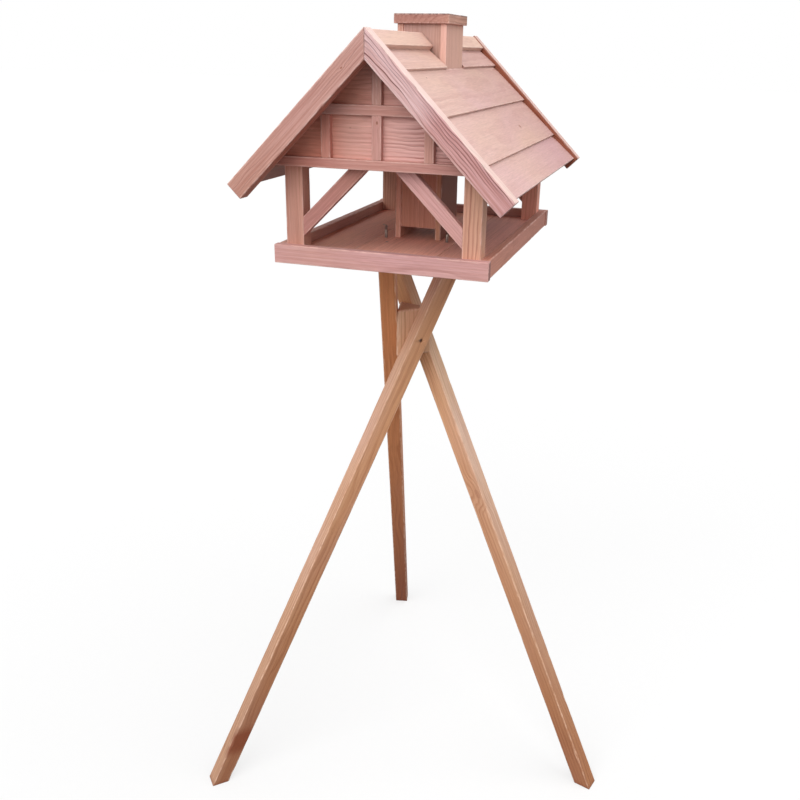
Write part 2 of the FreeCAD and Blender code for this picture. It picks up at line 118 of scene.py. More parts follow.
# Solid wood: growth rings round a pith line, bent slowly along the trunk, cut by the board's faces.
# grainSpot is (across from the pith, along the grain, through from the pith) in metres, so the counts
# given with a pattern are how many of it there are in a metre each way.
def woodMaterial(name, look):
    material = bpy.data.materials.new(name)
    tree = freshTree(material)
    marks = {}
    for label in ("grainSpot", "knotSpot", "boardTint"):
        marks[label] = add(tree, "Attribute", attribute_name=label).outputs["Vector"]
    for label in ("knotScale", "boardFigure", "boardWarm", "arrisNear", "stainAndShadeNear", "bleachNear",
                  "endGrain"):
        marks[label] = add(tree, "Attribute", attribute_name=label).outputs["Fac"]
    spot = marks["grainSpot"]

    # noises: two bends of the trunk, the rings' wobble, patches where the figure fades, 2.5 mm streaks that
    # show in the render, 0.5 mm fibres for close views, slow changes of hue, and wear along the arrises
    noises = {}
    for label, counts, settings in (
            ("bend", (13, 4.5, 13), {"Detail": 1.5, "Roughness": 0.45}),
            ("ripple", (30, 19, 30), {"Detail": 1.5, "Roughness": 0.45}),
            ("wobble", (60, 9, 60), {"Detail": 2.0}), ("patch", (26, 7, 26), {"Detail": 1.0}),
            ("streak", (420, 5, 420), {"Detail": 2.0}), ("fibre", (2000, 45, 2000), {"Detail": 2.0}),
            ("hue", (11, 4, 11), {"Detail": 2.0}), ("wear", (300, 60, 300), {"Detail": 2.0})):
        at = add(tree, "VectorMath", {0: spot, 1: counts}, operation="MULTIPLY")
        noises[label] = add(tree, "TexNoise", {"Vector": at, "Scale": 1.0, **settings})
    bends = []
    for label, reach in (("bend", look["wander"]), ("ripple", look["ripple"])):
        centred = add(tree, "VectorMath", {0: noises[label].outputs["Color"], 1: (0.5, 0.5, 0.5)},
                      operation="SUBTRACT")
        shift = add(tree, "VectorMath", {0: centred, 1: (reach * 3, 0, reach * 3)}, operation="MULTIPLY")
        bends.append(shift)
    bent = add(tree, "VectorMath", {0: bends[0], 1: bends[1]}, operation="ADD")
    trunk = add(tree, "VectorMath", {0: spot, 1: bent}, operation="ADD")
    flat = add(tree, "VectorMath", {0: trunk, 1: (1, 0, 1)}, operation="MULTIPLY")
    radius = add(tree, "VectorMath", {0: flat}, operation="LENGTH")

    # knot: distance in knot radii, longer along the grain, and the rings flow round it
    knotGap = add(tree, "VectorMath", {0: spot, 1: marks["knotSpot"]}, operation="SUBTRACT")
    knotFlat = add(tree, "VectorMath", {0: knotGap, 1: (1, 0.62, 0)}, operation="MULTIPLY")
    knotLong = add(tree, "VectorMath", {0: knotFlat}, operation="LENGTH")
    knotFar = add(tree, "Math", {0: knotLong, 1: marks["knotScale"]}, operation="MULTIPLY")
    halo = add(tree, "MapRange", {"Value": knotFar, "From Min": 0.6, "From Max": 5.0,
                                  "To Min": 1.0, "To Max": 0.0}, interpolation_type="SMOOTHERSTEP")
    around = add(tree, "Math", {0: 2.4, 1: marks["knotScale"]}, operation="DIVIDE")
    push = add(tree, "Math", {0: halo, 1: around, 2: radius}, operation="MULTIPLY_ADD")

    # rings: late wood darkens slowly and ends sharply, and each ring has its own strength
    counted = add(tree, "Math", {0: push, 1: 1 / look["ring"]}, operation="MULTIPLY")
    phase = add(tree, "Math", {0: noises["wobble"], 1: 1.1, 2: counted}, operation="MULTIPLY_ADD")
    part = add(tree, "Math", {0: phase}, operation="FRACT")
    number = add(tree, "Math", {0: phase}, operation="FLOOR")
    rise = add(tree, "MapRange", {"Value": part, "From Min": look["lineFrom"], "From Max": 0.86},
               interpolation_type="SMOOTHSTEP")
    fall = add(tree, "MapRange", {"Value": part, "From Min": 0.88, "From Max": 1.0,
                                  "To Min": 1.0, "To Max": 0.0}, interpolation_type="SMOOTHSTEP")
    single = add(tree, "TexWhiteNoise", {"W": number}, noise_dimensions="1D")
    strength = add(tree, "MapRange", {"Value": single, "To Min": 0.35, "To Max": 1.0})
    patchy = add(tree, "MapRange", {"Value": noises["patch"], "From Min": 0.36, "From Max": 0.6,
                                    "To Min": look["patch"], "To Max": 1.0}, interpolation_type="SMOOTHSTEP")
    late = rise
    for share in (fall, strength, patchy, marks["boardFigure"]):
        late = add(tree, "Math", {0: late, 1: share}, operation="MULTIPLY")

    # colour: peach to pink over the board, rings, streaks and fibres, then the board's own tint, which on
    # some pieces also paints light and shade
    spread = add(tree, "MapRange", {"Value": noises["hue"], "From Min": 0.32, "From Max": 0.68,
                                    "To Min": -look["blotch"] / 2, "To Max": look["blotch"] / 2})
    hue = add(tree, "Math", {0: spread, 1: marks["boardWarm"]}, operation="ADD", use_clamp=True)
    base = add(tree, "Mix", {0: hue, 6: colour(look["pink"]), 7: colour(look["peach"])}, data_type="RGBA")
    lineShare = add(tree, "Math", {0: late, 1: look["lineShare"]}, operation="MULTIPLY")
    ringed = add(tree, "Mix", {0: lineShare, 6: base, 7: colour(look["line"])}, data_type="RGBA")
    streakShare = add(tree, "MapRange", {"Value": noises["streak"], "From Min": 0.3, "From Max": 0.7})
    deep = look["streak"]
    darkStreak = (1 - 0.40 * deep, 1 - 0.66 * deep, 1 - 0.74 * deep, 1)
    paleStreak = (1 + 0.22 * deep, 1 + 0.36 * deep, 1 + 0.40 * deep, 1)
    streakTone = add(tree, "Mix", {0: streakShare, 6: darkStreak, 7: paleStreak}, data_type="RGBA")
    fibreTone = add(tree, "MapRange", {"Value": noises["fibre"], "From Min": 0.3, "From Max": 0.7,
                                       "To Min": 0.86, "To Max": 1.08})
    toned = add(tree, "VectorMath", {0: ringed, 1: streakTone}, operation="MULTIPLY")
    fibred = add(tree, "VectorMath", {0: toned, "Scale": fibreTone}, operation="SCALE")
    tinted = add(tree, "VectorMath", {0: fibred, 1: marks["boardTint"]}, operation="MULTIPLY")

    # knot: dark rim, brown heart with its own fine rings
    knotIn = add(tree, "MapRange", {"Value": knotFar, "From Min": 0.75, "From Max": 1.15,
                                    "To Min": 1.0, "To Max": 0.0}, interpolation_type="SMOOTHSTEP")
    knotRing = add(tree, "Math", {0: knotFar, 1: 0.18}, operation="PINGPONG")
    knotHue = add(tree, "MapRange", {"Value": knotRing, "From Min": 0.0, "From Max": 0.18})
    knotColour = add(tree, "Mix", {0: knotHue, 6: colour("#7c4a38"), 7: colour("#a86d55")}, data_type="RGBA")
    knotMix = add(tree, "Math", {0: knotIn, 1: look["knotDark"]}, operation="MULTIPLY")

    # scattered dark flecks of resin and dirt, about 1.5 mm wide
    fleckAt = add(tree, "VectorMath", {0: spot, 1: (24, 15, 24)}, operation="MULTIPLY")
    fleck = add(tree, "TexVoronoi", {"Vector": fleckAt, "Scale": 1.0, "Randomness": 1.0})
    fleckIn = add(tree, "MapRange", {"Value": fleck, "From Min": 0.012, "From Max": 0.045, "To Min": 0.75,
                                     "To Max": 0.0})

    # over the wood: end grain, whose open pores drink the stain, then knots, flecks, worn and broken pale
    # arrises, bleached faces, and dark stains, which also paint shade under the roof laps and on shaded barge
    # faces
    endShare = add(tree, "Math", {0: marks["endGrain"], 1: 0.72}, operation="MULTIPLY")
    worn = add(tree, "MapRange", {"Value": noises["wear"], "From Min": 0.4, "From Max": 0.62,
                                  "To Min": 0.05, "To Max": 0.42})
    wornShare = add(tree, "Math", {0: worn, 1: marks["arrisNear"]}, operation="MULTIPLY")
    shown = tinted
    # the last mix is dark stain and painted shade
    for share, over in ((endShare, colour(look["end"])), (knotMix, knotColour),
                        (fleckIn, colour("#7a4f45")), (wornShare, colour(look["edge"])),
                        (marks["bleachNear"], colour(look["edge"])), (marks["stainAndShadeNear"], colour("#76391f"))):
        shown = add(tree, "Mix", {0: share, 6: shown, 7: over}, data_type="RGBA")

    # height: late wood stands up, fibres are fine furrows
    furrow = add(tree, "Math", {0: noises["streak"], 1: 0.45, 2: late}, operation="MULTIPLY_ADD")
    height = add(tree, "Math", {0: noises["fibre"], 1: 0.22, 2: furrow}, operation="MULTIPLY_ADD")
    bump = add(tree, "Bump", {"Height": height, "Strength": 1.0, "Distance": look["relief"]})
    rough = add(tree, "MapRange", {"Value": noises["streak"], "From Min": 0.3, "From Max": 0.7,
                                   "To Min": look["rough"] - 0.08, "To Max": look["rough"] + 0.1})
    shader = add(tree, "BsdfPrincipled", {"Base Color": shown, "Roughness": rough, "Normal": bump,
                                          "IOR": 1.45, "Specular IOR Level": 0.35})
    add(tree, "OutputMaterial", {"Surface": shader})
    return material


# Metal dulled in patches of about 1.5 mm between two tones, which also vary its gloss
def metalMaterial(name, dark, pale):
    material = bpy.data.materials.new(name)
    tree = freshTree(material)
    place = add(tree, "TexCoord").outputs["Object"]
    patch = add(tree, "TexNoise", {"Vector": place, "Scale": 700.0, "Detail": 3.0})
    tint = add(tree, "Mix", {0: patch, 6: colour(dark), 7: colour(pale)}, data_type="RGBA")
    rough = add(tree, "MapRange", {"Value": patch, "From Min": 0.3, "From Max": 0.7,
                                   "To Min": 0.24, "To Max": 0.5})
    bump = add(tree, "Bump", {"Height": patch, "Strength": 0.4, "Distance": 0.0001})
    shader = add(tree, "BsdfPrincipled", {"Base Color": tint, "Metallic": 1.0, "Roughness": rough,
                                          "Normal": bump})
    add(tree, "OutputMaterial", {"Surface": shader})
    return material


finishes = {name: woodMaterial(name, look) for name, look in woods.items()}
# zinc plating stays bright under the tray; the pins' brown tone is a painted reflection of the wood
# round them, and the leg screws are painted dark as painted shade in their sunk holes
for name, dark, pale in (("zincPlatedSteel", "#8e8a84", "#cfc8bc"), ("brownedSteel", "#54443e", "#a08f86")):
    finishes[name] = metalMaterial(name, dark, pale)
print("materials ready:", len(finishes))


# What a saw and a few seasons leave on every piece, in metres but for the counts. waver, dentDeep and
# least are shares of the arris radius
sawing = {"arris": 0.0011, "wearBand": 0.0015, "step": 0.007, "faceStep": 0.012, "sharpest": 0.00012,
          "cornerSteps": 4, "dentsPerMetre": 5, "dentDeep": (0.3, 1.4), "dentLong": (0.004, 0.011),
          "waver": 0.3, "least": 0.45}
noKnot = (0, (9, 9), 1)  # board, place far away, radius


# Slow waver along a board: the sum of three sines of unrelated lengths
def waver(spots, seed):
    draw = np.random.default_rng(seed)
    total = np.zeros_like(spots)
    for wave in (0.19, 0.083, 0.031):
        total += np.sin(spots / wave * 2 * np.pi + draw.uniform(0, 6.28)) * wave
    return total / 0.3


# Section with rounded arrises at each station: every corner is a quadratic curve from one edge to the
# next, whose reach is the arris radius there, and the edges between get points near the corners
def sectionRings(corners, inset, radius):
    corners = np.asarray(corners, float)
    count = len(corners)
    nextEdge = np.roll(corners, -1, 0) - corners
    edgeLong = np.linalg.norm(nextEdge, axis=1)
    way = nextEdge / edgeLong[:, None]
    out = np.stack([way[:, 1], -way[:, 0]], 1)
    before = np.roll(out, 1, 0)
    lean = (out + before) / (1 + (out * before).sum(1))[:, None]
    moved = corners[None] - inset[:, None, None] * lean[None]
    steps = sawing["cornerSteps"]
    t = np.linspace(0, 1, steps + 1)[None, :, None]
    reaches = [np.minimum(np.maximum(radius[i] - inset, sawing["sharpest"]),
                          0.4 * min(edgeLong[i], edgeLong[i - 1]))[:, None, None] for i in range(count)]
    rings, near = [], []
    for i in range(count):
        after = (i + 1) % count
        corner = moved[:, i, None]
        first = corner - reaches[i] * way[i - 1]
        last = corner + reaches[i] * way[i]
        rings.append((1 - t) ** 2 * first + 2 * t * (1 - t) * corner + t ** 2 * last)
        end = moved[:, after, None] - reaches[after] * way[i]
        band = min(sawing["wearBand"] / edgeLong[i], 0.3)
        middle = max(int(edgeLong[i] / sawing["faceStep"]), 1)
        shares = np.concatenate([[band], np.linspace(band, 1 - band, middle + 1)[1:-1], [1 - band]])
        rings.append(last + (end - last) * shares[None, :, None])
        near += [1.0] * (steps + 1) + [0.0] * len(shares)
    return np.concatenate(rings, 1), np.array(near)


# Faces of a closed tube whose sections have the same count of points, from the point start on
def tubeFaces(stations, count, start=0):
    ring = np.arange(count)
    after = np.roll(ring, -1)
    rows = start + np.arange(stations - 1)[:, None] * count
    quads = np.stack([rows + ring, rows + after, rows + count + after, rows + count + ring], -1)
    ends = start + np.stack([ring[::-1], ring + (stations - 1) * count])
    return quads.reshape(-1, 4).tolist() + ends.tolist()


def smoothMesh(name, points, faces):
    mesh = bpy.data.meshes.new(name)
    mesh.from_pydata(points.tolist(), [], faces)
    mesh.polygons.foreach_set("use_smooth", np.ones(len(mesh.polygons), bool))
    return mesh


# Puts a mesh in the place of the CAD node of its name
def takePlace(name, mesh, finish, body):
    mesh.materials.append(finishes[finish])
    piece = linked(name, mesh)
    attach(piece, body)
    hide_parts(name)


# One sawn piece. Its section (u, v) is carried along the grain, and each end is a plane or a shape cut
# across: a point's place along is startAt(u, v) + share * (endAt(u, v) - startAt(u, v)), and the section
# draws in by the arris radius at both ends. axes are the frame's ways along, across and through. pith is
# where the trunk's middle lies in the section, runOut how the grain strays from the board, and porous how
# far the ends have darkened. The marks of stains and of painted shade, bleached, tint and figure may be
# functions of the place on the piece, and on some pieces tint also paints light and shade.
def sawn(name, corners, startAt, endAt, origin, axes, wood, pith=(0.0, -0.04), seed=1, tint=(1, 1, 1),
         warm=0.5, figure=1.0, runOut=0.0, knot=noKnot, arris=None, notch=None, stains=(), bleached=None,
         porous=1.0, body="table", slot="house_wood", cutters=()):
    corners = np.asarray(corners, float)
    area = np.roll(corners, -1, 0)
    if (corners[:, 0] * area[:, 1] - area[:, 0] * corners[:, 1]).sum() < 0:
        corners = corners[::-1]
    draw = np.random.default_rng(seed)
    starts, ends = startAt(corners[:, 0], corners[:, 1]), endAt(corners[:, 0], corners[:, 1])
    long = float((ends - starts).max())
    base = arris or sawing["arris"]
    turn = np.linspace(0, np.pi / 2, 4)
    runIn = base * (1 - np.cos(turn))
    drawIn = base * (1 - np.sin(turn))
    spots = np.linspace(base + sawing["wearBand"], long - base - sawing["wearBand"],
                        max(int(long / sawing["step"]), 2))
    if notch:
        low, high = notch["from"], notch["to"]
        spots = spots[(np.abs(spots - low) > 0.001) & (np.abs(spots - high) > 0.001)]
        spots = np.sort(np.concatenate([spots, [low, low, high, high]]))
    along = np.concatenate([[0.0], runIn, spots, (long - runIn)[::-1], [long]])
    capIn = base + min(sawing["wearBand"], 0.3 * np.ptp(corners, axis=0).min())
    inset = np.concatenate([[capIn], drawIn, np.zeros(len(spots)), drawIn[::-1], [capIn]])
    radii = []
    for i in range(len(corners)):
        rub = base * (1 + sawing["waver"] * waver(along, seed * 17 + i))
        dents = draw.uniform(0, long, draw.poisson(sawing["dentsPerMetre"] * long / 2 + 0.4))
        for dent in dents:
            deep = draw.uniform(*sawing["dentDeep"]) * base
            rub += deep * np.exp(-((along - dent) / draw.uniform(*sawing["dentLong"])) ** 2)
        radii.append(np.maximum(rub, base * sawing["least"]))
    rings, near = sectionRings(corners, inset, radii)
    u, v = rings[..., 0], rings[..., 1]
    if notch:  # the section slides along its own faces until it clears the silo
        inside = np.zeros(len(along), bool)
        index = np.where((along >= low) & (along <= high))[0]
        inside[index[1:-1]] = True
        clear = notch["clear"](v)
        u = np.where(inside[:, None] & (u < clear), clear, u)
    share = (along / long)[:, None]
    a = startAt(u, v) + share * (endAt(u, v) - startAt(u, v))
    stations, count = u.shape
    origin, axes = np.asarray(origin, float), np.asarray(axes, float)
    points = origin + a[..., None] * axes[0] + u[..., None] * axes[1] + v[..., None] * axes[2]
    faces = tubeFaces(stations, count)
    if np.linalg.det(axes) < 0:
        faces = [face[::-1] for face in faces]
    mesh = smoothMesh(name, points.reshape(-1, 3), faces)

    arrisNear = np.broadcast_to(near, u.shape).copy()
    arrisNear[inset > 0] = 1.0
    arrisNear[[0, -1]] = 0.0
    endGrain = np.zeros(u.shape)
    endGrain[[0, 1, 2, -3, -2, -1]] = porous * np.array([1, 1, 0.6, 0.6, 1, 1])[:, None]
    stainAndShadeNear = np.zeros(u.shape)
    for mark in stains:
        stainAndShadeNear = np.maximum(stainAndShadeNear, mark(u, a, v))
    bleachNear = bleached(u, v) if bleached else np.zeros(u.shape)
    for label, field in (("arrisNear", arrisNear), ("endGrain", endGrain), ("stainAndShadeNear", stainAndShadeNear),
                         ("bleachNear", bleachNear)):
        mesh.attributes.new(label, "FLOAT", "POINT").data.foreach_set(
            "value", field.reshape(-1).astype(np.float32))
    if notch:
        work = bmesh.new()
        work.from_mesh(mesh)
        bmesh.ops.remove_doubles(work, verts=work.verts, dist=1e-6)
        bmesh.ops.dissolve_degenerate(work, edges=work.edges, dist=1e-6)
        work.to_mesh(mesh)
        work.free()
    for cutter in cutters:
        mesh = bored(mesh, cutter)
    mesh.name = name

    # grain coordinates from the finished points, so that they hold after boring too
    count = len(mesh.vertices)
    flat = np.zeros(count * 3)
    mesh.vertices.foreach_get("co", flat)
    local = (flat.reshape(-1, 3) - origin) @ np.linalg.inv(axes)
    lead = draw.uniform(0, 40)
    grain = np.stack([local[:, 1] + runOut * local[:, 0] - pith[0], local[:, 0] + lead,
                      local[:, 2] - pith[1]], 1)
    knotAt = (knot[1][1] - pith[0], knot[1][0] + lead, 0.0) if knot is not noKnot else (9.0, 9.0, 9.0)
    shade = np.asarray(tint(local) if callable(tint) else tint)
    for label, field in (("grainSpot", grain), ("knotSpot", knotAt), ("boardTint", shade)):
        mesh.attributes.new(label, "FLOAT_VECTOR", "POINT").data.foreach_set(
            "vector", np.broadcast_to(field, (count, 3)).reshape(-1).astype(np.float32))
    shown = figure(local) if callable(figure) else figure
    for label, field in (("knotScale", 1 / knot[2]), ("boardFigure", shown), ("boardWarm", warm)):
        mesh.attributes.new(label, "FLOAT", "POINT").data.foreach_set(
            "value", np.broadcast_to(field, count).astype(np.float32))
    takePlace(name, mesh, wood, body)


# Cuts a round hole through a mesh, and gives the cut mesh
def bored(mesh, cutter):
    blank, drill = linked("blank", mesh), linked("drill", cutter)
    cut = blank.modifiers.new("bore", "BOOLEAN")
    cut.object = drill
    cut.operation = "DIFFERENCE"
    cut.solver = "EXACT"
    bpy.context.view_layer.update()
    done = bpy.data.meshes.new_from_object(blank.evaluated_get(bpy.context.evaluated_depsgraph_get()))
    for item in (blank, drill):
        bpy.data.objects.remove(item)
    return done


# Corners, size and middle of a node's box
def span(name):
    low, high = (np.array(corner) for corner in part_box(name))
    return low, high, high - low, (low + high) / 2


# Rectangle section round the middle, u across and v through
def slab(wide, thick):
    return [(-wide / 2, -thick / 2), (wide / 2, -thick / 2), (wide / 2, thick / 2), (-wide / 2, thick / 2)]


# Square-ended board that fills a node's box: grain along one axis of the frame, seen face toward +v
def boxBoard(name, way, face, **marks):
    low, high, size, middle = span(name)
    basis = np.eye(3)
    through = abs(np.array(face)).argmax()
    across = 3 - way - through
    axes = [basis[way], basis[across], np.array(face, float)]
    sawn(name, slab(size[across], size[through]), lambda u, v: 0 * u - size[way] / 2,
         lambda u, v: 0 * u + size[way] / 2, middle, axes, **marks)


# Value that passes from first to last, over a width from its start on the piece
def fade(spots, first, last, start, width):
    share = np.clip((spots - start) / width, 0, 1)
    return np.array(first) * (1 - share) + np.array(last) * share


# Tray: three floor boards, then a rim with its grain's way, outer face, tints at both ends and warmth.
# The right rim's darker tints, darker still toward the back, are painted shade. The floor's front, under
# the gable's edge, is painted lighter as painted light: tint, start and width of the change
tray = {"floor": {"floor_left": (1.50, 1.28, 1.14), "floor_middle": (1.55, 1.33, 1.20),
                  "floor_right": (1.30, 1.08, 1.05)},
        "paintedFrontLight": ((1.58, 1.42, 1.28), 0.08, 0.12),
        "rim": {"rim_front": (0, (0, -1, 0), (1.05, 1.05, 1.11), (1.05, 1.05, 1.11), 0.10),
                "rim_back": (0, (0, 1, 0), (0.95, 0.90, 0.90), (0.95, 0.90, 0.90), 0.3),
                "rim_left": (1, (-1, 0, 0), (1.0, 0.95, 0.92), (1.0, 0.95, 0.92), 0.4),
                "rim_right": (1, (1, 0, 0), (0.96, 0.75, 0.70), (0.74, 0.56, 0.53), 0.6)},
        "rimFade": (-0.20, 0.44)}
# painted light on the floor boards' front ends
for order, (name, tint) in enumerate(tray["floor"].items()):
    boxBoard(name, 1, (0, 0, 1), wood="stainedPine", pith=(0.012 * (order - 1), -0.05), seed=11 + order,
             tint=lambda local: fade(-local[:, :1], tint, *tray["paintedFrontLight"]), warm=0.45, figure=0.35)
for order, (name, (way, face, near, far, warm)) in enumerate(tray["rim"].items()):
    boxBoard(name, way, face, wood="stainedPine", pith=(0.004, -0.045), seed=21 + order, warm=warm,
             tint=lambda local: fade(local[:, :1], near, far, *tray["rimFade"]), figure=0.75)
print("tray made")


# Posts with sloped tops: tints at foot and head, warmth and figure. One post's foot is painted darker as
# painted shade. Braces mitred at both ends: tint and warmth; the darker tints of the front left and back
# braces are painted shade
frameParts = {"braceWidth": 0.022, "postLine": 0.085, "footShadeFrom": 0.04, "footShadeOver": 0.05,
              "posts": {"front_left": ((0.95, 0.86, 0.86), (1.14, 1.03, 1.02), 0.9, 0.35),
                        "front_right": ((1.17, 1.12, 1.06), (1.17, 1.12, 1.06), 1.0, 1.45),
                        "back_left": ((1.05, 0.93, 0.90), (1.05, 0.93, 0.90), 0.9, 0.8),
                        "back_right": ((1.50, 1.20, 1.14), (1.50, 1.20, 1.14), 0.9, 0.8)},
              "braces": {"front_left": ((0.86, 0.73, 0.71), 0.3), "front_right": ((1.16, 1.18, 1.22), 0.1),
                         "back_left": ((0.9, 0.8, 0.76), 0.3), "back_right": ((0.9, 0.8, 0.76), 0.3)}}

# Gables: changes of tint and figure as first, last, start and width, "right" without the first, and the
# plain tints. The panel is painted browner under the peak and in its left corner, and so is the low
# batten at its left end, as painted shadow of the barges above; the panel is pinker on the right
gable = {"underPeak": ((1.09, 0.92, 0.88), (1.04, 0.72, 0.60), 0.075, 0.03),
         "corner": (1, (0.97, 0.74, 0.64), 0.05, 0.04), "right": ((1.20, 1.12, 1.18), -0.05, 0.10),
         "figure": (0.45, 1.3, -0.015, 0.085),
         "lowBatten": ((0.94, 0.70, 0.66), (0.98, 0.89, 0.89), -0.11, 0.07), "midBatten": (1.04, 0.97, 0.97),
         "leftStrip": (1.04, 0.80, 0.74), "strip": (1.05, 1.00, 1.02), "tipRoom": 0.0006}


# painted shadow of the barges under the peak and in the left corner
def panelTint(local):
    left = fade(local[:, 1:2], *gable["underPeak"]) * fade(-local[:, :1], *gable["corner"])
    return fade(local[:, :1], left, *gable["right"])


for order, (end, out) in enumerate((("front", -1), ("back", 1))):
    for side, hand in (("left", -1), ("right", 1)):
        spot = "%s_%s" % (end, side)
        low, high, size, middle = span("post_" + spot)
        foot, head, warm, figure = frameParts["posts"][spot]
        # painted shade: the front left post is painted darker toward its foot
        footShadeStart = low[2] + frameParts["footShadeFrom"]
        sawn("post_" + spot, slab(size[0], size[1]), lambda u, v: 0 * u + low[2],
             lambda u, v: high[2] - (u + size[0] / 2), (middle[0], middle[1], 0),
             [(0, 0, 1), (hand, 0, 0), (0, out, 0)], "stainedPine", pith=(frameParts["postLine"], -0.03),
             seed=31 + order * 2 + (hand > 0), warm=warm, figure=figure,
             tint=lambda local: fade(local[:, :1], foot, head, footShadeStart, frameParts["footShadeOver"]))
        low, high, size, middle = span("brace_" + spot)
        wide = frameParts["braceWidth"]
        start = np.array([high[0] if hand > 0 else low[0], middle[1], low[2] + wide * half])
        rise = high[2] - start[2]
        tint, warm = frameParts["braces"][spot]
        sawn("brace_" + spot, slab(wide, size[1]), lambda u, v: u, lambda u, v: 2 * half * rise - u, start,
             [(-half * hand, 0, half), (half * hand, 0, half), (0, out, 0)], "stainedPine",
             pith=(0.03, -0.02), seed=41 + order * 2 + (hand > 0), tint=tint, warm=warm, figure=0.6)

    # gable panel with its battens: both ends follow the roof
    for name, wood, tint, figure in (
            ("gable_%s" % end, "sawnSpruce", panelTint, lambda local: fade(local[:, 0], *gable["figure"])),
            ("%s_batten_low" % end, "stainedPine",
             lambda local: fade(local[:, :1], *gable["lowBatten"]), 0.5),
            ("%s_batten_mid" % end, "stainedPine", gable["midBatten"], 0.5)):
        low, high, size, middle = span(name)
        tall = min(size[2], size[0] / 2 - gable["tipRoom"])
        sawn(name, [(0, -size[1] / 2), (tall, -size[1] / 2), (tall, size[1] / 2), (0, size[1] / 2)],
             lambda u, v: u - size[0] / 2, lambda u, v: size[0] / 2 - u, (middle[0], middle[1], low[2]),
             [(1, 0, 0), (0, 0, 1), (0, out, 0)], wood, pith=(0.09, -0.02), seed=51 + order * 10 + len(name),
             tint=tint, warm=0.35, figure=figure)
    for spot, (strip, tint, knot) in enumerate((
            ("left", gable["leftStrip"], noKnot), ("right", gable["strip"], noKnot),
            ("centre", gable["strip"], (0, (0.022, 0.001), 0.0016)))):
        boxBoard("%s_strip_%s" % (end, strip), 2, (0, out, 0), wood="stainedPine", pith=(0.05, -0.03),
                 seed=71 + order * 5 + spot, tint=tint, warm=0.5, figure=0.5, knot=knot)
    name = "%s_strip_top" % end
    low, high, size, middle = span(name)
    corners = [(-size[0] / 2, -size[1] / 2), (0, -size[1] / 2), (size[0] / 2, -size[1] / 2),
               (size[0] / 2, size[1] / 2), (0, size[1] / 2), (-size[0] / 2, size[1] / 2)]
    sawn(name, corners, lambda u, v: 0 * u + low[2], lambda u, v: high[2] - np.abs(u),
         (middle[0], middle[1], 0), [(0, 0, 1), (1, 0, 0), (0, out, 0)], "stainedPine", pith=(0.05, -0.03),
         seed=81 + order, warm=0.5)
print("frame and gables made")


# Roof boards: sections in the slope, down from the peak and out from the barge tops, then changes of tint
# and of the painted shadow under the laps, and each board's tint and warmth
roof = {"seat": -0.015, "thin": -0.010, "thick": -0.0055, "slip": 0.0002, "lap": 0.010,
        "lines": (0.0715, 0.159, 0.249, 0.3105), "ridgeWide": 0.0305, "ridgeOut": -0.0015,
        "shaftHalf": 0.0425, "shaftFront": 0.052, "seam": 0.0004, "arris": 0.0009, "bargeTip": 0.0007,
        "alongTint": ((1.15, 1.22, 1.27), (0.88, 0.83, 0.86)), "under": (1, (0.44, 0.28, 0.21), 0.0125, 0.001),
        "lapShadow": (0, 0.8, -0.012, 0.003), "lapShadowWide": 0.004,
        "right": {1: ((0.92, 0.90, 0.97), 0.85), 2: ((0.91, 0.90, 0.95), 0.62), 3: ((0.92, 0.91, 0.95), 0.55),
                  4: ((0.91, 0.90, 0.95), 0.3)},
        "left": {1: ((0.92, 0.90, 0.94), 0.7), 2: ((0.93, 0.92, 0.95), 0.5), 3: ((0.91, 0.90, 0.94), 0.65),
                 4: ((0.92, 0.90, 0.95), 0.45)},
        "ridge": {"front": (0.97, 0.96, 1.01), "back": (1.13, 1.23, 1.28)}}
seat, thin, thick, slip, lap, lines = (roof[key] for key in ("seat", "thin", "thick", "slip", "lap", "lines"))
peakX = (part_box("barge_front_right")[0][0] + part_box("barge_front_left")[1][0]) / 2
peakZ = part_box("barge_front_right")[1][2] + slip * half + roof["bargeTip"]
roofFront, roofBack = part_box("roof_right_2")[0][1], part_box("roof_right_2")[1][1]
siloY = span("silo_left")[3][1]
lip = thin + slip / 2
topBoard = [(slip - seat, seat), (lines[0] - lap - slip, seat), (lines[0] - lap - slip, lip), (lines[0], lip),
            (lines[0], thick), (roof["ridgeWide"], thin), (slip - thin, thin)]
ridgeBoard = [(slip - thin, thin), (roof["ridgeWide"], thin), (roof["ridgeWide"], roof["ridgeOut"]),
              (slip - roof["ridgeOut"], roof["ridgeOut"])]
sections = {}
for order in (2, 3, 4):
    upper, lower = lines[order - 2], lines[order - 1]
    head = upper - lap + slip
    foot = [(head, seat), (lower - lap - slip, seat), (lower - lap - slip, lip), (lower, lip)]
    if order == 4:
        foot = [(head, seat), (lower, seat)]
    sections[order] = foot + [(lower, thick), (upper, thin), (head, thin)]


# The boards are lighter toward their front ends, and their undersides are painted darker as painted shade
def roofShade(local, tint):
    along = fade(local[:, :1], *roof["alongTint"], roofFront, roofBack - roofFront)
    return np.array(tint) * along * fade(-local[:, 2:], *roof["under"])


# One board of the slope on a side, from end to end of its node's box
def roofPiece(name, hand, section, tint, warm, seed, **marks):
    start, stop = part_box(name)[0][1] + roof["seam"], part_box(name)[1][1] - roof["seam"]
    sawn(name, section, lambda u, v: 0 * u + start, lambda u, v: 0 * u + stop, (peakX, 0, peakZ),
         [(0, 1, 0), (half * hand, 0, -half), (half * hand, 0, half)], "planedSpruce", seed=seed, warm=warm,
         tint=lambda local: roofShade(local, tint), slot="roof_wood", arris=roof["arris"], **marks)


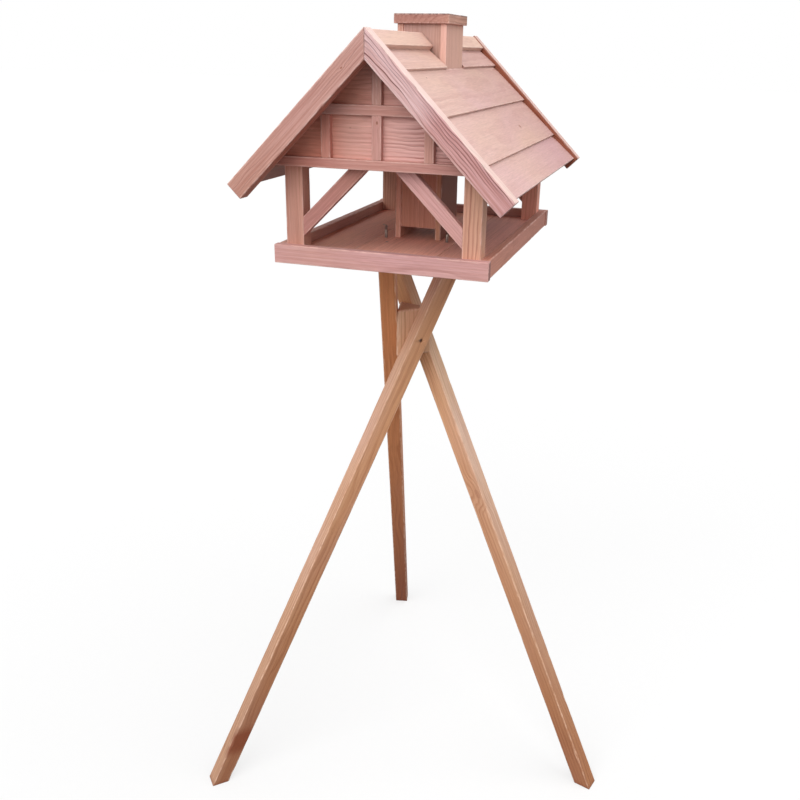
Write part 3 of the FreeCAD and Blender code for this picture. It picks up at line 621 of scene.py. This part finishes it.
for side, hand in (("left", -1), ("right", 1)):
    for order in (2, 3, 4):
        name = "roof_%s_%d" % (side, order)
        tint, warm = roof[side][order]
        upper, middle = lines[order - 2], (lines[order - 2] + lines[order - 1]) / 2
        start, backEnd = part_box(name)[0][1] + roof["seam"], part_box(name)[1][1]
        notch = None
        if order == 2:
            notch = {"from": siloY - roof["shaftFront"] - start, "to": siloY + roof["shaftFront"] - start,
                     "clear": lambda n: roof["shaftHalf"] / half - n}
        knot = (0, (0.055, middle + 0.004), 0.0035) if (side, order) == ("right", 3) else noKnot
        # painted shadow at the back end, under the lap
        wide = roof["lapShadowWide"]
        lapShadow = [lambda u, a, v: fade(a - backEnd, *roof["lapShadow"])
                * fade(np.abs(u - upper - wide), 1, 0, wide, wide)]
        roofPiece(name, hand, sections[order], tint, warm, 91 + order + (hand > 0) * 10, notch=notch,
                  knot=knot, pith=(middle + 0.008 * (order - 3), -0.055 - 0.01 * order), stains=lapShadow)
    for end in ("front", "back"):
        tint, warm = roof[side][1]
        seed = (hand > 0) + 2 * (end == "front")
        roofPiece("roof_%s_1_%s" % (side, end), hand, topBoard, tint, warm, 121 + seed, pith=(0.03, -0.06))
        roofPiece("ridge_%s_%s" % (side, end), hand, ridgeBoard, roof["ridge"][end], warm + 0.1, 131 + seed,
                  pith=(0.015, -0.05))
print("roof boards made")


# Barge boards, mitred at the peak. "pale" is how far the top edge has bleached; the face under the roof
# is painted darker as painted shade by a share for each end. The right front board is paler toward the
# peak, the left one browner toward its foot and painted dark on its edge under the roof as painted shade,
# and the back ones' inner faces are painted dark as painted shade
barge = {"width": 0.030, "thick": 0.024, "long": 0.317, "arris": 0.0013, "skin": 0.0006,
         "pale": {"front": 0.72, "back": 0.4}, "innerFaceShade": {"front": 0.0, "back": 0.6},
         "innerFace": (0.0105, 0.001),
         "rightTint": ((1.14, 1.25, 1.40), (0.92, 0.81, 0.88), 0.130, 0.035),
         "leftTint": ((0.85, 0.75, 0.79), (0.83, 0.71, 0.66), 0, 0.30),
         "leftUndersideShade": (1, (0.78, 0.55, 0.46), 0.0285, 0.001), "innerShadeTint": (0.78, 0.51, 0.36)}


# painted shade on the left board's edge under the roof
def leftShade(local):
    return fade(local[:, :1], *barge["leftTint"]) * fade(-local[:, 1:2], *barge["leftUndersideShade"])


def innerShade(local, tint):
    return np.array(tint) * fade(-local[:, 2:], 1, barge["innerShadeTint"], *barge["innerFace"])


boards = {"front_left": dict(tint=leftShade, warm=0.55, figure=0.45, pith=(-0.095, -0.022),
                             knot=(0, (0.062, -0.014), 0.0012)),
          "front_right": dict(tint=lambda local: fade(local[:, :1], *barge["rightTint"]), warm=0.25,
                              figure=1.4, runOut=0.035, pith=(-0.0975, -0.022)),
          "back_left": dict(tint=lambda local: innerShade(local, (0.80, 0.72, 0.72)), warm=0.4,
                            pith=(-0.09, -0.022)),
          "back_right": dict(tint=lambda local: innerShade(local, (0.80, 0.74, 0.76)), warm=0.4,
                             pith=(-0.09, -0.022))}
for end, out in (("front", -1), ("back", 1)):
    for side, hand in (("left", -1), ("right", 1)):
        spot = "%s_%s" % (end, side)
        middle = span("barge_" + spot)[3]
        wide, deep = barge["width"], barge["thick"] / 2
        sawn("barge_" + spot, [(0, -deep), (0, deep), (-wide, deep), (-wide, -deep)], lambda u, v: slip - u,
             lambda u, v: 0 * u + barge["long"], (peakX, middle[1], peakZ),
             [(half * hand, 0, -half), (half * hand, 0, half), (0, out, 0)], "brushedLarch",
             seed=141 + (hand > 0) + 2 * (end == "front"), arris=barge["arris"], slot="barge_wood",
             bleached=lambda u, v: fade(u, 0, barge["pale"][end], -barge["skin"], barge["skin"]),
             stains=[lambda u, a, v: fade(-v, 0, barge["innerFaceShade"][end], *barge["innerFace"])], **boards[spot])
print("barges made")


# Silo boards: outer face, figure, and tints above the roof, then below it on the edges and on the outer
# face. The tints change at the roof line, and below it the sides' outer faces carry painted shade,
# darkest on the right one
silo = {"boards": {
            "silo_front": ((0, -1, 0), 0.4, (0.84, 0.90, 0.95), (1.03, 0.86, 0.80), (1.03, 0.86, 0.80)),
            "silo_back": ((0, 1, 0), 0.4, (1.0, 0.97, 0.97), (1.0, 0.97, 0.97), (1.0, 0.97, 0.97)),
            "silo_left": ((-1, 0, 0), 0.4, (1.05, 1.05, 1.06), (1.30, 1.20, 1.15), (0.9, 0.8, 0.75)),
            "silo_right": ((1, 0, 0), 0.12, (1.26, 1.34, 1.42), (1.05, 0.98, 0.85), (0.52, 0.40, 0.37))},
        "outerFace": (0.003, 0.001), "roofLine": (0.05, 0.01)}


# painted shade below the roof line
def siloShade(local, over, edge, face):
    return fade(local[:, :1], fade(local[:, 2:], edge, face, *silo["outerFace"]), over, *silo["roofLine"])


for name, (out, figure, *shades) in silo["boards"].items():
    boxBoard(name, 2, out, wood="stainedPine", pith=(0.03, -0.035), seed=151 + len(name) + (out[0] > 0),
             tint=lambda local: siloShade(local, *shades), warm=0.7, figure=figure)


# Cap: tints with the start and width of each change. Rain has greyed the top, most of all the rim that
# stands past the shaft
cap = {"side": (0.90, 0.83, 0.79), "right": ((1.08, 1.08, 1.0), 0.043, 0.002), "topFace": (0.0045, 0.002),
       "top": (0.48, 0.41, 0.38), "rim": ((0.22, 0.19, 0.18), 0, 0.003), "shaft": (0.0515, 0.042)}


def capShade(local):
    past = (np.abs(local[:, :2]) - cap["shaft"]).max(1, keepdims=True)
    side = fade(local[:, 1:2], cap["side"], *cap["right"])
    return fade(local[:, 2:], side, fade(past, cap["top"], *cap["rim"]), *cap["topFace"])


boxBoard("cap_slab", 1, (0, 0, 1), wood="stainedPine", pith=(0.05, -0.05), seed=161, tint=capShade, warm=0.4,
         arris=0.0013, figure=1.4, porous=0.35, body="cap")
boxBoard("cap_plug", 0, (0, 0, -1), wood="stainedPine", pith=(0.0, -0.05), seed=162, warm=0.5, body="cap")
print("silo and cap made")


# Stand: legs and block
stand = {"size": 0.030, "rise": 1.070, "footRadius": 0.433, "topRadius": 0.094, "turn": 103.9,
         "blockRadius": 0.021, "sink": 0.007, "sinkDeep": 0.008, "sinkRoom": 0.002, "arris": 0.0016,
         "blockArris": 0.0042,
         # dark preservative soaked up by the feet, and a dark patch low on one outer face: each change as
         # first, last, start and width, or only the last two
         "dips": {"leg_back": (0.75, 0, 0.00275, 0.011), "leg_front_left": (0.55, 0, 0.00125, 0.005),
                  "leg_front_right": (0.55, 0, 0.00125, 0.005)},
         "patchAt": 0.093, "patch": (0.85, 0, 0.0162, 0.018), "patchFace": (0, 1, 0.0105, 0.002),
         # height over which the legs take on painted shade toward the ground
         "groundShade": (0.08, 0.62), "outerFace": (-0.3, 0.6),
         # tints of the outer faces high and low, then of the side faces high and low, and warmth, which paint
         # the light and shade on the legs' faces
         "tones": {
             "leg_back": ((1.02, 0.73, 0.53), (0.41, 0.21, 0.135),
                          (1.02, 0.73, 0.53), (0.41, 0.21, 0.135), 1.0),
             "leg_front_left": ((1.14, 1.24, 1.48), (0.88, 0.90, 0.94),
                                (0.99, 0.91, 0.85), (0.50, 0.36, 0.28), 0.75),
             "leg_front_right": ((1.15, 1.37, 1.50), (0.62, 0.48, 0.37),
                                 (1.18, 1.13, 0.99), (0.57, 0.42, 0.35), 0.6)}}
legOut = stand["blockRadius"] + stand["size"] / 2
runFoot = math.sqrt(stand["footRadius"] ** 2 - legOut ** 2)
runTop = math.sqrt(stand["topRadius"] ** 2 - legOut ** 2)
lean = math.atan2(runFoot + runTop, stand["rise"])
halfCut = stand["size"] / 2 / math.cos(lean)
blockLow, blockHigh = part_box("stand_block")


# Place in the stand: out along the leg's own line and sideways from it
def standSpot(angle, out, aside):
    turn = math.radians(stand["turn"] + angle)
    return (np.array([math.cos(turn), math.sin(turn)]) * out
            + np.array([-math.sin(turn), math.cos(turn)]) * aside)


feet = [standSpot(angle, runFoot + cut, aside) for angle in (0, 120, 240) for cut in (-halfCut, halfCut)
        for aside in (stand["blockRadius"], stand["blockRadius"] + stand["size"])]
centre = -(np.max(feet, 0) + np.min(feet, 0)) / 2  # the box round the feet has its middle at zero
crossing = stand["rise"] * runFoot / (runFoot + runTop)


# Round bit for boring: a closed tube from one point toward another
def bit(start, way, long, wide, sides=40):
    work = bmesh.new()
    bmesh.ops.create_cone(work, cap_ends=True, segments=sides, radius1=wide / 2, radius2=wide / 2, depth=long)
    aim = Vector((0, 0, 1)).rotation_difference(Vector(way)).to_matrix().to_4x4()
    bmesh.ops.transform(work, matrix=Matrix.Translation(start) @ aim @ Matrix.Translation((0, 0, long / 2)),
                        verts=work.verts)
    mesh = bpy.data.meshes.new("bit")
    work.to_mesh(mesh)
    work.free()
    return mesh


# Legs are painted darker and browner toward the ground as painted shade, and their outer faces paler as
# painted light: the tints of the side faces pass to the outer ones over the edge between them
def legShade(local, outHigh, outLow, sideHigh, sideLow):
    side, outer = (fade(local[:, :1], low, high, *stand["groundShade"]) for low, high in
                   ((sideLow, sideHigh), (outLow, outHigh)))
    turned = local[:, 1:2] / halfCut - np.abs(local[:, 2:]) / stand["size"] * 2
    return fade(turned, side, outer, *stand["outerFace"])


for order, (name, angle) in enumerate((("leg_back", 0), ("leg_front_left", 120), ("leg_front_right", 240))):
    turn = math.radians(stand["turn"] + angle)
    outWay = np.array([math.cos(turn), math.sin(turn), 0])
    sideWay = np.array([-math.sin(turn), math.cos(turn), 0])
    base = np.array([*(centre + standSpot(angle, runFoot, legOut)), 0])
    # along is the height; the level section slides inward as it rises
    slide = -(runFoot + runTop) / stand["rise"]
    upWay = np.array([slide * outWay[0], slide * outWay[1], 1.0])
    *shades, warm = stand["tones"][name]
    screwAt = np.array([*(centre + standSpot(angle, 0, stand["blockRadius"] + stand["size"])), crossing])
    room = stand["sinkRoom"]
    sink = bit(screwAt + sideWay * room, -sideWay, stand["sinkDeep"] + room, stand["sink"])
    stains = [lambda u, a, v: fade(a, *stand["dips"][name])]
    if name == "leg_front_left":
        stains.append(lambda u, a, v: fade(np.abs(a - stand["patchAt"]), *stand["patch"])
                      * fade(v, *stand["patchFace"]))
    knot = (0, (0.585, 0.006), 0.006) if name == "leg_front_right" else noKnot
    sawn(name, slab(halfCut * 2, stand["size"]), lambda u, v: 0 * u, lambda u, v: 0 * u + stand["rise"], base,
         [upWay, outWay, sideWay], "oiledPine", pith=(0.03, -0.04), seed=171 + order,
         tint=lambda local: legShade(local, *shades), warm=warm, knot=knot, arris=stand["arris"],
         stains=stains, slot="stand_wood", cutters=[sink])

# Block between the legs, three-sided with its corners taken off: reach is from the middle to a corner, and
# flank is half a side
reach = stand["blockRadius"] * 2
flank = stand["blockRadius"] * math.sqrt(3)
turn = math.radians(stand["turn"])
sawn("stand_block", [(flank, stand["blockRadius"]), (-flank, stand["blockRadius"]), (0, -reach)],
     lambda u, v: 0 * u + blockLow[2], lambda u, v: 0 * u + blockHigh[2], (*centre, 0),
     [(0, 0, 1), (math.cos(turn), math.sin(turn), 0), (-math.sin(turn), math.cos(turn), 0)], "oiledPine",
     pith=(0.05, -0.02), seed=181, tint=(1.14, 1.22, 1.30), warm=0.6, arris=stand["blockArris"],
     porous=0.3, slot="stand_wood")
print("stand made")

# The screws keep the CAD solids' shape
# the leg screws' darker steel is painted shade in their sunk holes
for name, finish in (("leg_screws", "brownedSteel"), ("tray_screws", "zincPlatedSteel")):
    nodes[name].data.materials.clear()
    nodes[name].data.materials.append(finishes[finish])


# Turned pins: a point stands at its profile's radius times the cosine and sine of the turn, at its height
def turnedPins(name, spots, profile, sides=32):
    profile = np.asarray(profile)
    turn = np.linspace(0, 2 * np.pi, sides, endpoint=False)
    circle = np.stack([np.cos(turn), np.sin(turn), 0 * turn], 1)
    body = circle[None] * profile[:, None, :1] + np.array([0, 0, 1]) * profile[:, None, 1:]
    points = np.concatenate([body.reshape(-1, 3) + np.array([x, y, 0]) for x, y in spots])
    faces = []
    for start in range(0, len(points), len(profile) * sides):
        faces += tubeFaces(len(profile), sides, start)
    takePlace(name, smoothMesh(name, points, faces), "brownedSteel", "table")


# Pins with a domed head above a turned neck; neck heights are below the top
pins = {"radius": 0.0025, "domeSteps": 7, "domeTurn": 1.45, "slim": 0.9, "footSlim": 0.94, "footRise": 0.0006,
        "neck": (0.009, 0.0085, 0.0075, 0.007)}
low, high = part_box("silo_pins")
r, slim = pins["radius"], pins["slim"]
neck = [high[2] - down for down in pins["neck"]]
dome = [(r * math.cos(t), high[2] - r * slim + r * slim * math.sin(t))
        for t in np.linspace(0, pins["domeTurn"], pins["domeSteps"])]
shank = [(r * pins["footSlim"], low[2]), (r, low[2] + pins["footRise"]), (r, neck[0]), (r * slim, neck[1]),
         (r * slim, neck[2]), (r, neck[3])]
# the pins' brown steel is a painted reflection of the wood round them
turnedPins("silo_pins", [(low[0] + r, low[1] + r), (high[0] - r, low[1] + r)], shank + dome)
print("metal made")


# Studio: wide soft suns and a dim sky give every part of the floor the same light, and the floor glows by
# what it lacks of white, so that only the table's shadow is darker
studio = {"world": 0.60, "floor": 0.24, "speck": 0.004, "white": 1.01, "reach": 40.0,
          "suns": {"keySun": ((-0.10, -0.79, 0.60), 2.20, 58), "topSun": ((0.50, 0.0, 0.86), 1.20, 50)}}
for name, (way, power, spread) in studio["suns"].items():
    lamp = bpy.data.lights.new(name, "SUN")
    lamp.energy = power
    lamp.angle = math.radians(spread)
    linked(name, lamp).rotation_euler = Vector(way).to_track_quat("Z", "Y").to_euler()


# 1 for rays that should meet a white studio, 0 for the light that bounces
def studioRays(tree):
    path = add(tree, "LightPath")
    seen = path.outputs["Is Camera Ray"]
    for ray in ("Is Glossy Ray", "Is Transmission Ray"):
        seen = add(tree, "Math", {0: seen, 1: path.outputs[ray]}, operation="MAXIMUM")
    return seen


# Pale paper floor. Light it receives over pi: the sky's strength plus each sun's power times its height
arrive = studio["world"] + sum(power * way[2] / math.sqrt(sum(v * v for v in way)) / math.pi
                               for way, power, spread in studio["suns"].values())
material = bpy.data.materials.new("paleStudioPaper")
tree = freshTree(material)
place = add(tree, "TexCoord").outputs["Object"]
speck = add(tree, "TexNoise", {"Vector": place, "Scale": 60.0, "Detail": 2.0})
tone = add(tree, "MapRange", {"Value": speck, "To Min": studio["floor"] - studio["speck"],
                              "To Max": studio["floor"] + studio["speck"]})
paper = add(tree, "BsdfDiffuse", {"Color": tone})
lift = add(tree, "Math", {0: studioRays(tree), 1: studio["white"] - studio["floor"] * arrive},
           operation="MULTIPLY")
glow = add(tree, "Emission", {"Color": (1, 1, 1, 1), "Strength": lift})
both = add(tree, "AddShader", {0: paper, 1: glow})
add(tree, "OutputMaterial", {"Surface": both})

wide = studio["reach"]
floorMesh = bpy.data.meshes.new("studioFloor")
floorMesh.from_pydata([(-wide, -wide, 0), (wide, -wide, 0), (wide, wide, 0), (-wide, wide, 0)], [],
                      [(0, 1, 2, 3)])
floorMesh.materials.append(material)
floor = linked("studioFloor", floorMesh)

world = bpy.data.worlds.new("studio")
bpy.context.scene.world = world
tree = freshTree(world)
strength = add(tree, "MapRange", {"Value": studioRays(tree), "To Min": studio["world"], "To Max": 1.0})
sky = add(tree, "Background", {"Color": (1, 1, 1, 1), "Strength": strength})
add(tree, "OutputWorld", {"Surface": sky})

# Camera fitted to the photograph: place from the tray's middle, turn vector, and focal length and middle of
# the picture in pixels of its width
trayLow, trayHigh = np.array(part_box("rim_front")[0]), np.array(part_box("rim_back")[1])
shot = {"fromTray": (0.464339, -1.529663, 1.39187), "turn": (1.9281, 0.3218, -0.1941), "focal": 879.92,
        "centre": (407.48, 400.45), "width": 800, "sensor": 36}
angle = math.sqrt(sum(v * v for v in shot["turn"]))
look = Matrix.Rotation(angle, 3, tuple(v / angle for v in shot["turn"]))
camera = bpy.data.cameras.new("camera")
camera.sensor_width = shot["sensor"]
camera.lens = shot["focal"] / shot["width"] * shot["sensor"]
camera.shift_x = 0.5 - shot["centre"][0] / shot["width"]
camera.shift_y = shot["centre"][1] / shot["width"] - 0.5
cameraItem = linked("camera", camera)
pose = Matrix([(look[0][i], -look[1][i], -look[2][i]) for i in range(3)]).to_4x4()
pose.translation = Vector((*((trayLow + trayHigh) / 2)[:2], 0)) + Vector(shot["fromTray"])
cameraItem.matrix_world = pose
bpy.context.scene.camera = cameraItem
bpy.context.scene.view_settings.view_transform = "Standard"
print("stage ready")
